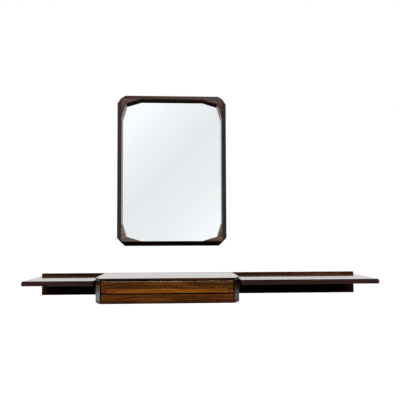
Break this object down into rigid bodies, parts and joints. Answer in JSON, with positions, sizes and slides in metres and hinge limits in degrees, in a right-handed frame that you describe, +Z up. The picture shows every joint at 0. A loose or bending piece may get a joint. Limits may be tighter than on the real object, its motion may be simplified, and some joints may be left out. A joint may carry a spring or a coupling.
{
  "type": "wall mirror with drawers",
  "caption": "Wall set of a bevel-framed mirror and a wall-hung console with stacked drawers between a short and a long shelf on one back rail.",
  "frame": {"origin": "on the wall plane, at the back face of the long rail, behind the middle of the drawer box and at mid height of the rail", "axes": "+X to the right along the wall (towards the long shelf), +Y into the wall, +Z up; the fronts face -Y"},
  "size_m": [1.86, 0.4042, 1.188],
  "materials": {
    "rosewood": "dark rosewood, satin lacquer",
    "rail_rosewood": "dark rosewood veneer, satin lacquer",
    "front_veneer": "warmer brown rosewood veneer, satin lacquer",
    "lath_wood": "light orange-brown solid wood, satin lacquer",
    "lining_wood": "plain pale beech, waxed",
    "hardboard": "brown hardboard, smooth side out",
    "top_veneer": "dark rosewood veneer, high-gloss lacquer",
    "silvered_glass": "clear float glass, silvered at the back",
    "steel": "plain steel",
    "dark_screws": "blackened steel"
  },
  "bodies": {
    "root": {"mirror_frame_top": "rosewood", "mirror_frame_bottom": "rosewood", "mirror_frame_left": "rosewood", "mirror_frame_right": "rosewood", "left_front_lipping": "rosewood", "left_end_lipping": "rosewood", "right_front_lipping": "rosewood", "right_end_lipping": "rosewood", "box_top_board": "rosewood", "box_bottom_board": "rosewood", "box_left_side": "rosewood", "box_right_side": "rosewood", "left_corner_post": "rosewood", "right_corner_post": "rosewood", "wall_rail": "rail_rosewood", "left_shelf_core": "rail_rosewood", "right_shelf_core": "rail_rosewood", "mitre_splines": "lining_wood", "box_back_panel": "lining_wood", "carcass_dowels": "lining_wood", "left_guide": "lining_wood", "right_guide": "lining_wood", "left_runner": "lining_wood", "right_runner": "lining_wood", "upper_drawer_stop": "lining_wood", "lower_drawer_stop": "lining_wood", "mirror_backing_board": "hardboard", "left_shelf_veneer": "top_veneer", "right_shelf_veneer": "top_veneer", "box_top_veneer": "top_veneer", "mirror_glass": "silvered_glass", "backing_brads": "steel", "hanger_plates": "steel", "hanger_screws": "steel", "shelf_pins": "steel", "box_screws": "steel"},
    "upper_drawer": {"upper_drawer_panel": "front_veneer", "upper_drawer_rail": "rosewood", "handle_lath": "lath_wood", "lath_screws": "dark_screws", "upper_drawer_left_side": "lining_wood", "upper_drawer_right_side": "lining_wood", "upper_drawer_back": "lining_wood", "upper_drawer_bottom": "hardboard"},
    "lower_drawer": {"lower_drawer_front": "front_veneer", "lower_drawer_left_side": "lining_wood", "lower_drawer_right_side": "lining_wood", "lower_drawer_back": "lining_wood", "lower_drawer_bottom": "hardboard"}
  },
  "joints": [
    {"name": "upper_drawer_slide", "type": "slide", "parent": "root", "child": "upper_drawer", "axis": [0, -1, 0], "range_m": [0, 0.25]},
    {"name": "lower_drawer_slide", "type": "slide", "parent": "root", "child": "lower_drawer", "axis": [0, -1, 0], "range_m": [0, 0.25]}
  ]
}
